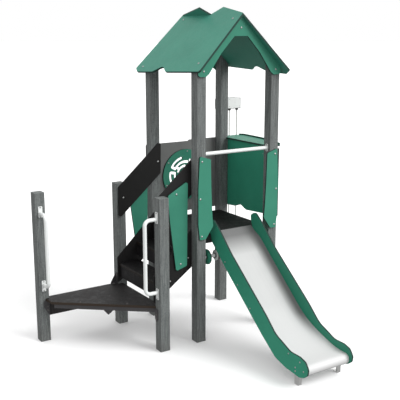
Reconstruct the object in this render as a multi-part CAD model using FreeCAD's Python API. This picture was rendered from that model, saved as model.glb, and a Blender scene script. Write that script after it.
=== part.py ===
import FreeCAD, Part
import math
import os

# Playground play tower. Millimetres, +Z up, +X to the right, -Y towards the slide's exit.
# The origin is the centre of the foot of the front left tower post, on the ground.

V = FreeCAD.Vector

# Driving dimensions
POST = 95.0                # square post section
POST_ROUND = 5.0           # rounding of a post's long edges
TOWER = 806.0              # post spacing of the square tower, centre to centre
STEP_GAP = 383.0           # tower posts to the podium's inner posts, centre to centre
PODIUM_LEG = 806.0         # each leg of the podium's right angle, centre to centre
SHORT_POST = 1400.0        # height of the podium posts
DECK_TOP = 1000.0
PODIUM_TOP = 412.0
BOARD = 22.0               # thickness of the walking boards
PANEL = 15.0               # thickness of the side panels
ROOF_THICK = 18.0
RIDGE_Z = 2954.0           # upper face of the roof at the ridge, both slopes at 45 degrees
HOLE_PLAY = 0.1            # a bolt hole is this much larger than its bolt, on the radius

H = POST / 2
MID = TOWER / 2
FRONT = -H                 # outer face of the front posts
BACK = TOWER + H           # outer face of the rear posts
RIGHT = TOWER + H          # outer face of the right posts
PX = -STEP_GAP             # centre line of the podium's inner posts
ROOF_UNDER_Z = RIDGE_Z - ROOF_THICK * math.sqrt(2)

solids = {}                # node name to shape
bolt_groups = {}           # node name to list of (point, outward direction, depth, size)


# ---------------------------------------------------------------- helpers

def box(x0, x1, y0, y1, z0, z1):
    return Part.makeBox(x1 - x0, y1 - y0, z1 - z0, V(x0, y0, z0))


def rod(start, end, radius):
    return Part.makeCylinder(radius, (end - start).Length, start, end - start)


def tube(start, end, outer, inner):
    return rod(start, end, outer).cut(rod(start, end, inner))


def place(u, w, axis, level):
    """Point of an outline: axis x holds (y, z), axis y holds (x, z), axis z holds (x, y)."""
    if axis == "x":
        return V(level, u, w)
    if axis == "y":
        return V(u, level, w)
    return V(u, w, level)


def rounded_face(points, axis, level, radius):
    """Flat face on an outline whose corners are arcs. A point may carry its own radius."""
    corners = [place(p[0], p[1], axis, level) for p in points]
    radii = [p[2] if len(p) > 2 else radius for p in points]
    starts = []
    edges = []
    count = len(corners)
    for i in range(count):
        here = corners[i]
        to_last = (corners[i - 1] - here)
        to_next = (corners[(i + 1) % count] - here)
        room = 0.45 * min(to_last.Length, to_next.Length)
        to_last.normalize()
        to_next.normalize()
        half = to_last.getAngle(to_next) / 2
        cut = min(radii[i] / math.tan(half), room)
        if cut < 0.05 or half > math.radians(89.5):
            starts.append((here, here))
            continue
        first = here + to_last * cut
        last = here + to_next * cut
        middle = to_last + to_next
        middle.normalize()
        bend = cut * math.tan(half)
        centre = here + middle * (cut / math.cos(half))
        edges.append(Part.Arc(first, centre - middle * bend, last).toShape())
        starts.append((first, last))
    for i in range(count):
        begin = starts[i][1]
        end = starts[(i + 1) % count][0]
        edges.append(Part.makeLine(begin, end))
    return Part.Face(Part.Wire(Part.__sortEdges__(edges)))


def plate(points, axis, low, thick, radius=10.0):
    """Plate on an outline, from level low, as thick as given along its axis."""
    return rounded_face(points, axis, low, radius).extrude(place(0, 0, axis, thick))


def mirror_x(shape, x=MID):
    return shape.mirror(V(x, 0, 0), V(1, 0, 0))


def mirror_y(shape, y=MID):
    return shape.mirror(V(0, y, 0), V(0, 1, 0))


def together(shapes):
    result = shapes[0]
    for shape in shapes[1:]:
        result = result.fuse(shape)
    return result.removeSplitter()


def add(name, *shapes):
    """Puts separate solids in a node, beside any that it already holds."""
    solids.setdefault(name, []).extend(shapes)


SIDES = {"-x": V(-1, 0, 0), "+x": V(1, 0, 0), "-y": V(0, -1, 0), "+y": V(0, 1, 0), "+z": V(0, 0, 1)}


def bolt(group, x, y, z, outward, depth, size=10.0):
    """Dome-head bolt: its head lies on the given point and its shank goes inwards."""
    direction = SIDES[outward] if isinstance(outward, str) else outward
    bolt_groups.setdefault(group, []).append((V(x, y, z), direction, depth, size))


def bolt_solid(point, direction, depth, size):
    """Shank, a thin flange and a low dome, turned as one piece."""
    flange = size * 0.95
    rise = size * 0.5
    ball = (flange ** 2 + rise ** 2) / (2 * rise)
    top = 1.5 + rise
    bend = math.asin(flange / ball) / 2
    rim_middle = V(ball * math.sin(bend), 0, top - ball + ball * math.cos(bend))
    profile = [V(0, 0, -depth), V(size / 2, 0, -depth), V(size / 2, 0, 0), V(flange, 0, 0),
               V(flange, 0, 1.5)]
    edges = [Part.makeLine(a, b) for a, b in zip(profile, profile[1:])]
    edges.append(Part.Arc(profile[-1], rim_middle, V(0, 0, top)).toShape())
    edges.append(Part.makeLine(V(0, 0, top), profile[0]))
    solid = Part.Face(Part.Wire(edges)).revolve(V(0, 0, 0), V(0, 0, 1), 360)
    solid.Placement = FreeCAD.Placement(point, FreeCAD.Rotation(V(0, 0, 1), direction))
    return solid


def drill(shape):
    """Cuts every bolt's hole that reaches into the solid."""
    bounds = shape.BoundBox
    holes = []
    for items in bolt_groups.values():
        for point, direction, depth, size in items:
            hole = Part.makeCylinder(size / 2 + HOLE_PLAY, depth + 1.0,
                                     point - direction * (depth + 0.5), direction)
            if bounds.intersect(hole.BoundBox):
                holes.append(hole)
    return shape.cut(holes) if holes else shape


# ---------------------------------------------------------------- posts

POSTS = {
    "tower_post_front_left": (0.0, 0.0),
    "tower_post_front_right": (TOWER, 0.0),
    "tower_post_rear_left": (0.0, TOWER),
    "tower_post_rear_right": (TOWER, TOWER),
    "podium_post_front": (PX, 0.0),
    "podium_post_inner": (PX, TOWER),
    "podium_post_left": (PX - PODIUM_LEG, TOWER),
}


def roof_height(x):
    """Height of the roof's underside."""
    return ROOF_UNDER_Z - abs(x - MID)


def post(x, y, height):
    outline = [(x - H, y - H), (x + H, y - H), (x + H, y + H), (x - H, y + H)]
    return plate(outline, "z", 0.0, height, POST_ROUND)


def make_posts():
    for name, (x, y) in POSTS.items():
        if name.startswith("podium"):
            add(name, post(x, y, SHORT_POST))
            continue
        tall = post(x, y, RIDGE_Z)
        low_x = x - H - 1
        high_x = x + H + 1
        above = [(low_x, roof_height(low_x), 0), (high_x, roof_height(high_x), 0),
                 (high_x, RIDGE_Z + 50, 0), (low_x, RIDGE_Z + 50, 0)]
        add(name, tall.cut(plate(above, "y", y - H - 1, POST + 2, 0)))


# ---------------------------------------------------------------- deck

BEAM = 40.0                # width of the deck frame's box section
FRAME_TOP = DECK_TOP - BOARD
FRAME_LOW = 904.0
HAND_END = 50.0            # step-side panels end here, past the tower posts' inner faces
INNER_LOW = H              # inner faces of the tower posts
INNER_HIGH = TOWER - H
DECK_END = INNER_HIGH - 10         # right and rear edges of the deck board
STRINGER_LOW = INNER_LOW + PANEL
STRINGER_HIGH = INNER_HIGH - PANEL


def beam(x0, x1, y0, y1):
    wall = 3.0
    whole = box(x0, x1, y0, y1, FRAME_LOW, FRAME_TOP)
    if x1 - x0 > y1 - y0:
        hollow = box(x0 - 1, x1 + 1, y0 + wall, y1 - wall, FRAME_LOW + wall, FRAME_TOP - wall)
    else:
        hollow = box(x0 + wall, x1 - wall, y0 - 1, y1 + 1, FRAME_LOW + wall, FRAME_TOP - wall)
    return whole.cut(hollow)


def make_deck():
    entry = box(-H, HAND_END, STRINGER_LOW, STRINGER_HIGH, FRAME_TOP, DECK_TOP)
    wide = box(HAND_END, DECK_END, INNER_LOW, DECK_END, FRAME_TOP, DECK_TOP)
    seat = box(SLIDE_LEFT + PANEL, SLIDE_RIGHT - PANEL, INNER_LOW - 1, BED_BACK, FRAME_TOP - 1, DECK_TOP + 1)
    add("deck_board", together([entry, wide]).cut(seat))
    long_beams = [beam(HAND_END, INNER_HIGH, INNER_LOW, INNER_LOW + BEAM),
                  beam(HAND_END, INNER_HIGH, INNER_HIGH - BEAM, INNER_HIGH)]
    cross = [beam(x, x + BEAM, INNER_LOW + BEAM, INNER_HIGH - BEAM)
             for x in (HAND_END, MID - BEAM / 2, INNER_HIGH - BEAM)]
    add("deck_frame", together(long_beams + cross))
    clip_post = box(H, H + 5, -2, INNER_LOW - 5, FRAME_LOW + 2, FRAME_TOP - 2)
    clip_beam = box(H, H + 46, INNER_LOW - 5, INNER_LOW, FRAME_LOW + 2, FRAME_TOP - 2)
    clip = together([clip_post, clip_beam])
    clips = [clip, mirror_x(clip), mirror_y(clip), mirror_x(mirror_y(clip))]
    add("deck_clips", *clips)
    for x, side in ((H + 5, "+x"), (TOWER - H - 5, "-x")):
        for y in (22.0, TOWER - 22.0):
            bolt("frame_bolts", x, y, 954.0, side, 60.0)
    for x in (80.0, TOWER - 80.0):
        bolt("frame_bolts", x, INNER_LOW - 5, 954.0, "-y", 30.0)
        bolt("frame_bolts", x, INNER_HIGH + 5, 954.0, "+y", 30.0)
    for x in (70.0, INNER_HIGH - 20.0):
        for y in (INNER_LOW + 30, INNER_HIGH - 25):
            bolt("frame_bolts", x, y, DECK_TOP, "+z", 34.0, 8.0)


# ---------------------------------------------------------------- podium

SKIRT_LOW = 232.0
BOARD_LOW = PODIUM_TOP - BOARD
EDGE_LEFT = (-1166.0, 640.0)      # front left corner of the podium board
EDGE_RIGHT = (-430.5, 36.0)       # where its front edge meets the front post


def podium_edge(inset):
    """Two points of the board's front edge, moved inwards by inset."""
    dx = EDGE_RIGHT[0] - EDGE_LEFT[0]
    dy = EDGE_RIGHT[1] - EDGE_LEFT[1]
    length = math.hypot(dx, dy)
    nx = -dy / length * inset
    ny = dx / length * inset
    return (EDGE_LEFT[0] + nx, EDGE_LEFT[1] + ny), (EDGE_RIGHT[0] + nx, EDGE_RIGHT[1] + ny)


def make_podium():
    back_left_x = PX - PODIUM_LEG + 12
    outline = [(EDGE_LEFT[0], EDGE_LEFT[1], 22), (EDGE_RIGHT[0], EDGE_RIGHT[1], 0),
               (PX - H, H, 0), (PX, H, 0), (PX, INNER_HIGH, 0), (PX - H, INNER_HIGH, 0),
               (PX - H, TOWER, 0), (PX - PODIUM_LEG + H, TOWER, 0),
               (PX - PODIUM_LEG + H, INNER_HIGH, 0), (back_left_x, INNER_HIGH, 0)]
    add("podium_board", plate(outline, "z", BOARD_LOW, BOARD, 10))
    near_left, near_right = podium_edge(8.0)
    far_left, far_right = podium_edge(48.0)
    tube_outline = [(near_left[0] + 14, near_left[1] - 11.5, 0), (PX - H - 8, near_right[1] + 6.5, 0),
                    (PX - H - 8, far_right[1] + 6.5, 0), (far_left[0] + 14, far_left[1] - 11.5, 0)]
    add("podium_front_beam", plate(tube_outline, "z", BOARD_LOW - 38, 38, 3))
    skirt = box(PX - PODIUM_LEG + H, PX - H, TOWER - PANEL, TOWER, SKIRT_LOW, BOARD_LOW)
    add("podium_rear_skirt", skirt)
    add("podium_side_beam", box(PX - 38, PX, H, INNER_HIGH, BOARD_LOW - 48, BOARD_LOW))
    make_podium_brackets()


def make_podium_brackets():
    front_plate = [(-4, 296, 6), (20, 266, 8), (44, 290, 8), (52, BOARD_LOW, 0), (-4, BOARD_LOW, 0)]
    front = plate(front_plate, "x", PX - H - 5, 5, 4)
    front_shelf = box(PX - H - 8, PX - H - 5, -4, 52, BOARD_LOW - 40, BOARD_LOW)
    left_x = PX - PODIUM_LEG
    left_plate = [(left_x - 6, 330, 6), (left_x + 38, 252, 8), (left_x + 46, 256, 6),
                  (left_x + 46, BOARD_LOW, 0), (left_x - 6, BOARD_LOW, 0)]
    left = plate(left_plate, "y", INNER_HIGH - 5, 5, 4)
    add("podium_brackets", together([front, front_shelf]), left)
    bolt("frame_bolts", PX - H - 5, 20, 298, "-x", 50)
    bolt("frame_bolts", PX - H - 5, 20, 336, "-x", 50, 8)
    bolt("frame_bolts", left_x + 30, INNER_HIGH - 5, 298, "-y", 50)
    bolt("frame_bolts", left_x + 30, INNER_HIGH - 5, 336, "-y", 50, 8)
    gusset = [(PX - H - 2, PODIUM_TOP, 0), (PX - H - 62, PODIUM_TOP, 4),
              (PX - H - 62, PODIUM_TOP + 14, 4), (PX - H - 2, PODIUM_TOP + 112, 6)]
    upright = box(PX - H - 5, PX - H, TOWER - 34, TOWER - 2, PODIUM_TOP, PODIUM_TOP + 112)
    foot = box(PX - H - 62, PX - H - 5, TOWER - 34, TOWER - 2, PODIUM_TOP, PODIUM_TOP + 5)
    web = plate(gusset, "y", TOWER - 6, 4, 3)
    web = web.cut(box(PX - H - 5, PX, 0, 2000, 0, 2000))
    add("podium_brackets", together([upright, foot, web]))
    bolt("frame_bolts", PX - H - 5, TOWER - 19, PODIUM_TOP + 80, "-x", 50)
    bolt("frame_bolts", PX - H - 38, TOWER - 19, PODIUM_TOP + 5, "+z", 27, 8)
    for share in (0.27, 0.72):
        x = EDGE_LEFT[0] + (EDGE_RIGHT[0] - EDGE_LEFT[0]) * share
        y = EDGE_LEFT[1] + (EDGE_RIGHT[1] - EDGE_LEFT[1]) * share
        bolt("frame_bolts", x + 15, y + 19, PODIUM_TOP, "+z", 45, 8)
    middle_x = (EDGE_LEFT[0] + EDGE_RIGHT[0]) / 2
    middle_y = (EDGE_LEFT[1] + EDGE_RIGHT[1]) / 2
    pointed = [(-48, BOARD_LOW - 38, 0), (48, BOARD_LOW - 38, 0), (36, BOARD_LOW - 58, 6),
               (0, BOARD_LOW - 92, 6), (-36, BOARD_LOW - 58, 6)]
    bracket = plate(pointed, "x", 0, 5, 4)
    slope = math.degrees(math.atan2(EDGE_RIGHT[1] - EDGE_LEFT[1], EDGE_RIGHT[0] - EDGE_LEFT[0]))
    bracket.rotate(V(0, 0, 0), V(0, 0, 1), slope + 90)
    bracket.translate(V(middle_x + 48, middle_y + 3, 0))
    add("podium_brackets", bracket)


# ---------------------------------------------------------------- steps

STEP_X = (-424.0, -232.0)          # front of each tread
STEP_Z = (625.0, 812.5)            # top of each tread
TREAD = 30.0
RISER = 112.0


def both_sides(name_left, name_right, outline, gap, radius=12.0):
    """One plate just inside the right hand inner faces and its twin on the left."""
    near = plate(outline, "y", gap, PANEL, radius)
    add(name_right, near)
    add(name_left, mirror_y(near))


def make_steps():
    stringer = [(-440, 431, 6), (-277, 545, 60), (-49, 705, 60), (47, 772, 4),
                (HAND_END, 1100, 4), (47, 1100, 4), (-38, 1065, 20), (-440, 680, 10)]
    both_sides("stringer_left", "stringer_right", stringer, INNER_LOW)
    for x, z in zip(STEP_X, STEP_Z):
        tread = box(x, x + 212, STRINGER_LOW, STRINGER_HIGH, z - TREAD, z)
        add("treads", tread.makeFillet(6, [e for e in tread.Edges if is_nosing(e, x)]))
        add("risers", box(x + 8, x + 23, STRINGER_LOW, STRINGER_HIGH, z - TREAD - RISER,
                                 z - TREAD))
        for y, side in ((INNER_LOW, "-y"), (INNER_HIGH, "+y")):
            bolt("step_bolts", x + 150, y, z - TREAD / 2, side, 60, 8)
    add("risers", box(-H, -H + 15, STRINGER_LOW, STRINGER_HIGH, 820, FRAME_TOP))
    handrail = [(-412, 1367, 20), (-415, 1086, 14), (-388, 1082, 14), (46, 1458, 14),
                (HAND_END, 1747, 14), (22, 1749, 14)]
    both_sides("handrail_panel_left", "handrail_panel_right", handrail, INNER_LOW)
    step_panel = [(-297, 1399, 20), (-92, 1512, 20), (-104, 733, 20), (-219, 699, 20),
                  (-281, 1180, 20)]
    both_sides("step_panel_left", "step_panel_right", step_panel, INNER_LOW - PANEL)
    for y, side in ((INNER_LOW + PANEL, "+y"), (INNER_HIGH - PANEL, "-y")):
        bolt("step_bolts", -364, y, 1261, side, 60)
        bolt("step_bolts", 16, y, 1572, side, 60)
        bolt("step_bolts", 10, y, 1050, side, 60)
        bolt("step_bolts", 20, y, 850, side, 60)
        bolt("step_bolts", -364, y, 540, side, 60)
    for y, side in ((INNER_LOW - PANEL, "-y"), (INNER_HIGH + PANEL, "+y")):
        bolt("step_bolts", -210, y, 1402, side, 26)
        bolt("step_bolts", -172, y, 758, side, 26)


def is_nosing(edge, x):
    bounds = edge.BoundBox
    return bounds.YLength > 100 and abs(bounds.XMin - x) < 0.01


# ---------------------------------------------------------------- panels, bar and handles

def make_flank_panels():
    outline = [(-27, 1735), (88, 1700), (95, 1424, 60), (106, 1194, 60), (116, 1091, 30),
               (36, 980), (-27, 978), (-43, 1123, 30), (-43, 1440, 30)]
    left = plate(outline, "y", FRONT - PANEL, PANEL, 14)
    add("flank_panel_left", left)
    add("flank_panel_right", mirror_x(left))
    for x, z in ((-3, 1685), (-22, 1352), (-6, 1009)):
        bolt("panel_bolts", x, FRONT - PANEL, z, "-y", 65)
        bolt("panel_bolts", TOWER - x, FRONT - PANEL, z, "-y", 65)


BAR_Z = 1741.0
BAR_R = 17.0
FLANGE = 5.0


def make_guard_bar():
    start = V(INNER_LOW, 0, BAR_Z)
    end = V(INNER_HIGH, 0, BAR_Z)
    bar = tube(start, end, BAR_R, BAR_R - 2.5)
    ends = []
    for x in (INNER_LOW, INNER_HIGH - FLANGE):
        flange = plate([(-16, BAR_Z - 36), (16, BAR_Z - 36), (16, BAR_Z + 36), (-16, BAR_Z + 36)],
                       "x", x, FLANGE, 12)
        flange = together([flange, rod(V(x, 0, BAR_Z), V(x + FLANGE, 0, BAR_Z), BAR_R + 3)])
        ends.append(flange.cut(rod(start, end, BAR_R - 2.5)))
    add("guard_bar", together([bar] + ends))
    for z in (BAR_Z - 27, BAR_Z + 27):
        bolt("bar_bolts", INNER_LOW + FLANGE, 0, z, "+x", 50, 8)
        bolt("bar_bolts", INNER_HIGH - FLANGE, 0, z, "-x", 50, 8)


HANDLE_OUT = 121.0                 # tube centre from the post's face
HANDLE_R = 17.0
HANDLE_BEND = 48.0
HANDLE_LEGS = (550.0, 1215.0)
HANDLE_PLATES = (535.0, 1228.0)
HANDLE_BOLT = 42.0                 # bolts from the middle of each plate


def handle():
    """Handle on a face at x = 0 that faces -X, with its tube over y = 0."""
    low, high = HANDLE_LEGS
    tip = -HANDLE_OUT
    turn = HANDLE_BEND
    part = turn * (1 - math.cos(math.radians(45)))
    points = [V(0, 0, high), V(tip + turn, 0, high), V(tip, 0, high - turn),
              V(tip, 0, low + turn), V(tip + turn, 0, low), V(0, 0, low)]
    path = Part.Wire([
        Part.makeLine(points[0], points[1]),
        Part.Arc(points[1], V(tip + part, 0, high - part), points[2]).toShape(),
        Part.makeLine(points[2], points[3]),
        Part.Arc(points[3], V(tip + part, 0, low + part), points[4]).toShape(),
        Part.makeLine(points[4], points[5])])
    section = Part.Wire(Part.makeCircle(HANDLE_R, points[0], V(-1, 0, 0)))
    bar = path.makePipeShell([section], True, False)
    shapes = [bar]
    for z in HANDLE_PLATES:
        shapes.append(plate([(-19, z - 51), (19, z - 51), (19, z + 51), (-19, z + 51)], "x", -6, 6, 8))
    return together(shapes)


def make_handles():
    front = handle()
    front.translate(V(PX - H, 0, 0))
    add("grab_handle_front", front)
    left = handle()
    left.rotate(V(0, 0, 0), V(0, 0, 1), 90)
    left.translate(V(PX - PODIUM_LEG, INNER_HIGH, 0))
    add("grab_handle_left", left)
    for z in HANDLE_PLATES:
        for step in (-HANDLE_BOLT, HANDLE_BOLT):
            bolt("bar_bolts", PX - H - 6, 0, z + step, "-x", 50, 8)
            bolt("bar_bolts", PX - PODIUM_LEG, INNER_HIGH - 6, z + step, "-y", 50, 8)


# ---------------------------------------------------------------- slide

SLIDE_LEFT = 156.0
SLIDE_RIGHT = 650.0
SHEET = 3.0
SLOPE = math.radians(41)
BED_TOP_Y = 57.2                   # where the bed's flat head meets its slope
BED_TOP_Z = DECK_TOP
BED_BACK = 63.0                    # rear edge of the bed, let into the deck board
EXIT_Z = 190.0
NOSE_Y = -1258.0
NOSE_R = 46.0
HEAD_R = 12.0                      # bends of the bed at the deck and at the foot of the slope
FOOT_R = 900.0


def slide_side():
    outline = [(66, 1056, 8), (69, 1099, 14), (30, 1124, 30), (-8, 1129, 30), (-86, 1068, 60),
               (-286, 874, 200), (-787, 468, 200), (-918, 345, 200), (-1114, 262, 120),
               (-1233, 260, 60), (-1300, 240, 50), (-1338, 185, 45), (-1330, 135, 30),
               (-1289, 102, 30), (-1235, 86, 40), (-1057, 107, 100), (-925, 145, 120),
               (-745, 278, 120), (-224, 705, 200), (14, 917, 60)]
    return plate(outline, "x", SLIDE_LEFT, PANEL, 10)


def bed_section_face():
    """Side view of the bed's sheet, as thick as the sheet, ready to be drawn across."""
    outer = bed_wire_points(0.0)
    inner = bed_wire_points(SHEET)
    edges = []
    for points in (outer, inner):
        for kind, a, b, c in points:
            if kind == "line":
                edges.append(Part.makeLine(a, c))
            else:
                edges.append(Part.Arc(a, b, c).toShape())
    edges.append(Part.makeLine(outer[0][1], inner[0][1]))
    edges.append(Part.makeLine(outer[-1][3], inner[-1][3]))
    return Part.Face(Part.Wire(Part.__sortEdges__(edges)))


def arc_at(corner, back, ahead, radius, drop, side):
    """Arc of a bend: corner, unit vectors to the last and next points, inside radius."""
    half = back.getAngle(ahead) / 2
    cut = radius / math.tan(half)
    middle = back + ahead
    middle.normalize()
    centre = corner + middle * (radius / math.sin(half))
    size = radius + side * drop
    a = centre + (corner + back * cut - centre) * (size / radius)
    c = centre + (corner + ahead * cut - centre) * (size / radius)
    b = centre - middle * size
    return a, b, c


def bed_wire_points(drop):
    """Edges of the bed's side view at a depth under its top surface."""
    exit_y = BED_TOP_Y - (BED_TOP_Z - EXIT_Z) / math.tan(SLOPE)
    down = V(0, -math.cos(SLOPE), -math.sin(SLOPE))
    flat = V(0, -1, 0)
    x = SLIDE_LEFT + PANEL
    start = V(x, BED_BACK, BED_TOP_Z - drop)
    a1, b1, c1 = arc_at(V(x, BED_TOP_Y, BED_TOP_Z), flat * -1, down, HEAD_R, drop, -1)
    a2, b2, c2 = arc_at(V(x, exit_y, EXIT_Z), down * -1, flat, FOOT_R, drop, 1)
    centre = V(x, NOSE_Y, EXIT_Z - NOSE_R)
    size = NOSE_R - drop
    n1 = centre + V(0, 0, size)
    n2 = centre + V(0, -size, 0)
    n3 = centre + V(0, 0, -size)
    end = n3 + V(0, 25, 0)
    return [("line", start, None, a1), ("arc", a1, b1, c1), ("line", c1, None, a2),
            ("arc", a2, b2, c2), ("line", c2, None, n1), ("arc", n1, n2, n3), ("line", n3, None, end)]


COVE = 150.0                       # width of the turned-up edge of the bed
COVE_RISE = 28.0
COVE_START = 100.0                 # from the bed's top bend, down the slope
COVE_LENGTH = 780.0                # ends before the foot's bend starts


def cove():
    """Curved strip beside one side panel, on the straight slope."""
    down = V(0, -math.cos(SLOPE), -math.sin(SLOPE))
    up = V(0, -math.sin(SLOPE), math.cos(SLOPE))
    top = V(SLIDE_LEFT + PANEL, BED_TOP_Y, BED_TOP_Z) + down * COVE_START
    flat_end = top + V(COVE, 0, 0)
    wall = top + up * COVE_RISE
    middle = top + V(COVE * 0.42, 0, 0) + up * (COVE_RISE * 0.37)
    low_end = flat_end - up * SHEET
    low_wall = wall - up * 34
    low_inner = low_wall + V(SHEET, 0, 0)
    under_wall = wall + V(SHEET, 0, 0) - up * (SHEET + 1.5)
    low_middle = middle - up * SHEET
    edges = [Part.Arc(wall, middle, flat_end).toShape(), Part.makeLine(flat_end, low_end),
             Part.Arc(low_end, low_middle, under_wall).toShape(), Part.makeLine(under_wall, low_inner),
             Part.makeLine(low_inner, low_wall), Part.makeLine(low_wall, wall)]
    return Part.Face(Part.Wire(edges)).extrude(down * COVE_LENGTH)


def make_slide():
    left = slide_side()
    add("slide_side_left", left)
    add("slide_side_right", left.translated(V(SLIDE_RIGHT - PANEL - SLIDE_LEFT, 0, 0)))
    inner_left = SLIDE_LEFT + PANEL
    inner_right = SLIDE_RIGHT - PANEL
    middle = (SLIDE_LEFT + SLIDE_RIGHT) / 2
    bed = bed_section_face().extrude(V(inner_right - inner_left, 0, 0))
    flange = box(inner_left + 20, inner_right - 20, H - 3, H, 930, 988)
    strip = cove()
    add("slide_bed", together([bed, flange, strip, mirror_x(strip, middle)]))
    foot_low = box(inner_left, inner_left + 36, -1210, -1160, 0, EXIT_Z - SHEET - 4)
    foot_low = foot_low.cut(box(inner_left + 4, inner_left + 37, -1206, -1159, 6, 2000))
    add("slide_feet", foot_low, mirror_x(foot_low, middle))
    for x, side in ((SLIDE_LEFT, "-x"), (SLIDE_RIGHT, "+x")):
        for y, z in ((-192, 781), (-385, 620), (-571, 461)):
            bolt("slide_bolts", x, y, z, side, PANEL + SHEET, 8)
        for y, z in ((-1096, 241), (-1239, 218), (-1285, 154)):
            bolt("slide_bolts", x, y, z, side, PANEL - 2, 8)
        for z in (153, 122):
            bolt("slide_bolts", x, -1185, z, side, PANEL + 4, 8)
    for x in (middle - 150, middle, middle + 150):
        bolt("slide_bolts", x, H - 3, 952, "-y", 30, 8)


# ---------------------------------------------------------------- counter and maze

SHELF_LOW = 1730.0
SHELF_TOP = SHELF_LOW + PANEL
SHELF_FRONT = 62.0
LIP = 13.0                         # height of the strip along the shelf's outer edge


def shelf_outline():
    return [(RIGHT, SHELF_FRONT, 0), (RIGHT, BACK, 0), (1040, BACK, 45), (1088, 800, 60), (1084, 604, 300),
            (1070, 400, 300), (1030, 220, 200), (970, SHELF_FRONT, 12)]


def make_counter():
    panel = [(FRONT, SHELF_LOW, 0), (FRONT, 1078, 14), (175, 1064, 60), (438, 1045, 60),
             (529, 1082, 8), (629, 1049, 60), (756, 1040, 60), (BACK, 1036, 14), (BACK, SHELF_LOW, 0)]
    add("counter_panel", plate(panel, "x", RIGHT, PANEL, 14))
    whole = plate(shelf_outline(), "z", SHELF_LOW, PANEL, 20)
    tongue = box(RIGHT - 22, RIGHT, INNER_LOW + 3, INNER_HIGH - 3, SHELF_LOW, SHELF_TOP)
    add("counter_shelf", together([whole, tongue]))
    rim = plate(shelf_outline(), "z", SHELF_TOP, LIP, 12)
    inside = rim.translated(V(-12, 0, 0))
    lip = rim.cut(inside).common(box(900, 1200, SHELF_FRONT + 5, BACK - 20, SHELF_TOP, 1800))
    add("counter_lip", lip)
    brackets = []
    for y in (170.0, 640.0):
        wall = box(RIGHT + PANEL, RIGHT + PANEL + 4, y - 22, y + 22, SHELF_LOW - 110, SHELF_LOW)
        arm = box(RIGHT + PANEL, RIGHT + PANEL + 88, y - 22, y + 22, SHELF_LOW - 4, SHELF_LOW)
        brace = [(RIGHT + PANEL + 4, SHELF_LOW - 4, 0), (RIGHT + PANEL + 78, SHELF_LOW - 4, 0),
                 (RIGHT + PANEL + 4, SHELF_LOW - 96, 0)]
        brackets.append(together([wall, arm, plate(brace, "y", y - 2, 4, 0)]))
        bolt("panel_bolts", RIGHT + PANEL + 4, y + 12, SHELF_LOW - 80, "+x", 19, 8)
    add("counter_brackets", *brackets)
    for y in (0.0, TOWER):
        for z in (1130, 1640):
            bolt("panel_bolts", RIGHT + PANEL, y, z, "+x", 65)


MAZE_X = 387.0
MAZE_Z = 1392.0
MAZE_R = 256.0
WINDOW_R = 212.0
SLOT = 27.0


def maze_slot(radius, start, end):
    """Arc-shaped slot with round ends, cut through the disc; angles in degrees."""
    low = BACK - PANEL - 1
    deep = PANEL + 2
    outer = Part.makeCylinder(radius + SLOT / 2, deep, V(MAZE_X, low, MAZE_Z), V(0, 1, 0), end - start)
    inner = Part.makeCylinder(radius - SLOT / 2, deep, V(MAZE_X, low, MAZE_Z), V(0, 1, 0))
    ring = outer.cut(inner)
    ring.rotate(V(MAZE_X, low, MAZE_Z), V(0, 1, 0), slot_turn(outer, start, end))
    return together([ring, maze_hole(radius, start), maze_hole(radius, end)])


def slot_turn(sector, start, end):
    """Turn about +Y that brings the sector's middle to the middle of start and end."""
    centre = sector.CenterOfMass
    now = math.degrees(math.atan2(centre.z - MAZE_Z, centre.x - MAZE_X))
    return now - (start + end) / 2


def maze_point(radius, angle):
    turn = math.radians(angle)
    return V(MAZE_X + radius * math.cos(turn), BACK - PANEL - 1, MAZE_Z + radius * math.sin(turn))


def maze_hole(radius, angle):
    return Part.makeCylinder(SLOT / 2, PANEL + 2, maze_point(radius, angle), V(0, 1, 0))


def maze_link(inner, outer, angle):
    """Straight radial slot between two rings."""
    bar = box(MAZE_X + inner, MAZE_X + outer, BACK - PANEL - 1, BACK + 1,
              MAZE_Z - SLOT / 2, MAZE_Z + SLOT / 2)
    bar.rotate(V(MAZE_X, 0, MAZE_Z), V(0, 1, 0), -angle)
    return bar


def make_maze():
    outline = [(FRONT, 1015, 14), (RIGHT, 1015, 14), (RIGHT, 1738, 14), (445, 1738, 6), (438, 1726, 6),
               (FRONT, 1726, 14)]
    panel = plate(outline, "y", BACK, PANEL, 14)
    window = Part.makeCylinder(WINDOW_R, PANEL + 2, V(MAZE_X, BACK - 1, MAZE_Z), V(0, 1, 0))
    add("game_panel", panel.cut(window))
    disc = Part.makeCylinder(MAZE_R, PANEL, V(MAZE_X, BACK - PANEL, MAZE_Z), V(0, 1, 0))
    cuts = []
    for half in (0, 180):
        cuts += [maze_slot(175, 105 + half, 150 + half), maze_link(130, 175, 150 + half),
                 maze_slot(130, 76 + half, 150 + half), maze_link(88, 130, 140 + half),
                 maze_slot(88, 92 + half, 155 + half), maze_hole(154, 68 + half),
                 maze_slot(173, 170 + half, 197 + half), maze_link(120, 173, 169 + half),
                 maze_slot(119, 169 + half, 186 + half)]
    add("maze_disc", disc.cut(together(cuts)))
    for angle in (28, 84, 146, 203, 260, 320):
        spot = maze_point(236, angle)
        bolt("panel_bolts", spot.x, BACK - PANEL, spot.z, "-y", 28, 8)
    for x in (0.0, TOWER):
        for z in (1080, 1660):
            bolt("panel_bolts", x, BACK + PANEL, z, "+y", 65)


# ---------------------------------------------------------------- roof

def roof_point(along, down, side):
    """Point on a slope's upper face: along the ridge from its middle, and down the slope."""
    step = down / math.sqrt(2)
    if side == "left":
        return V(MID - step, MID + along, RIDGE_Z - step)
    return V(MID + step, MID - along, RIDGE_Z - step)


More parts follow.
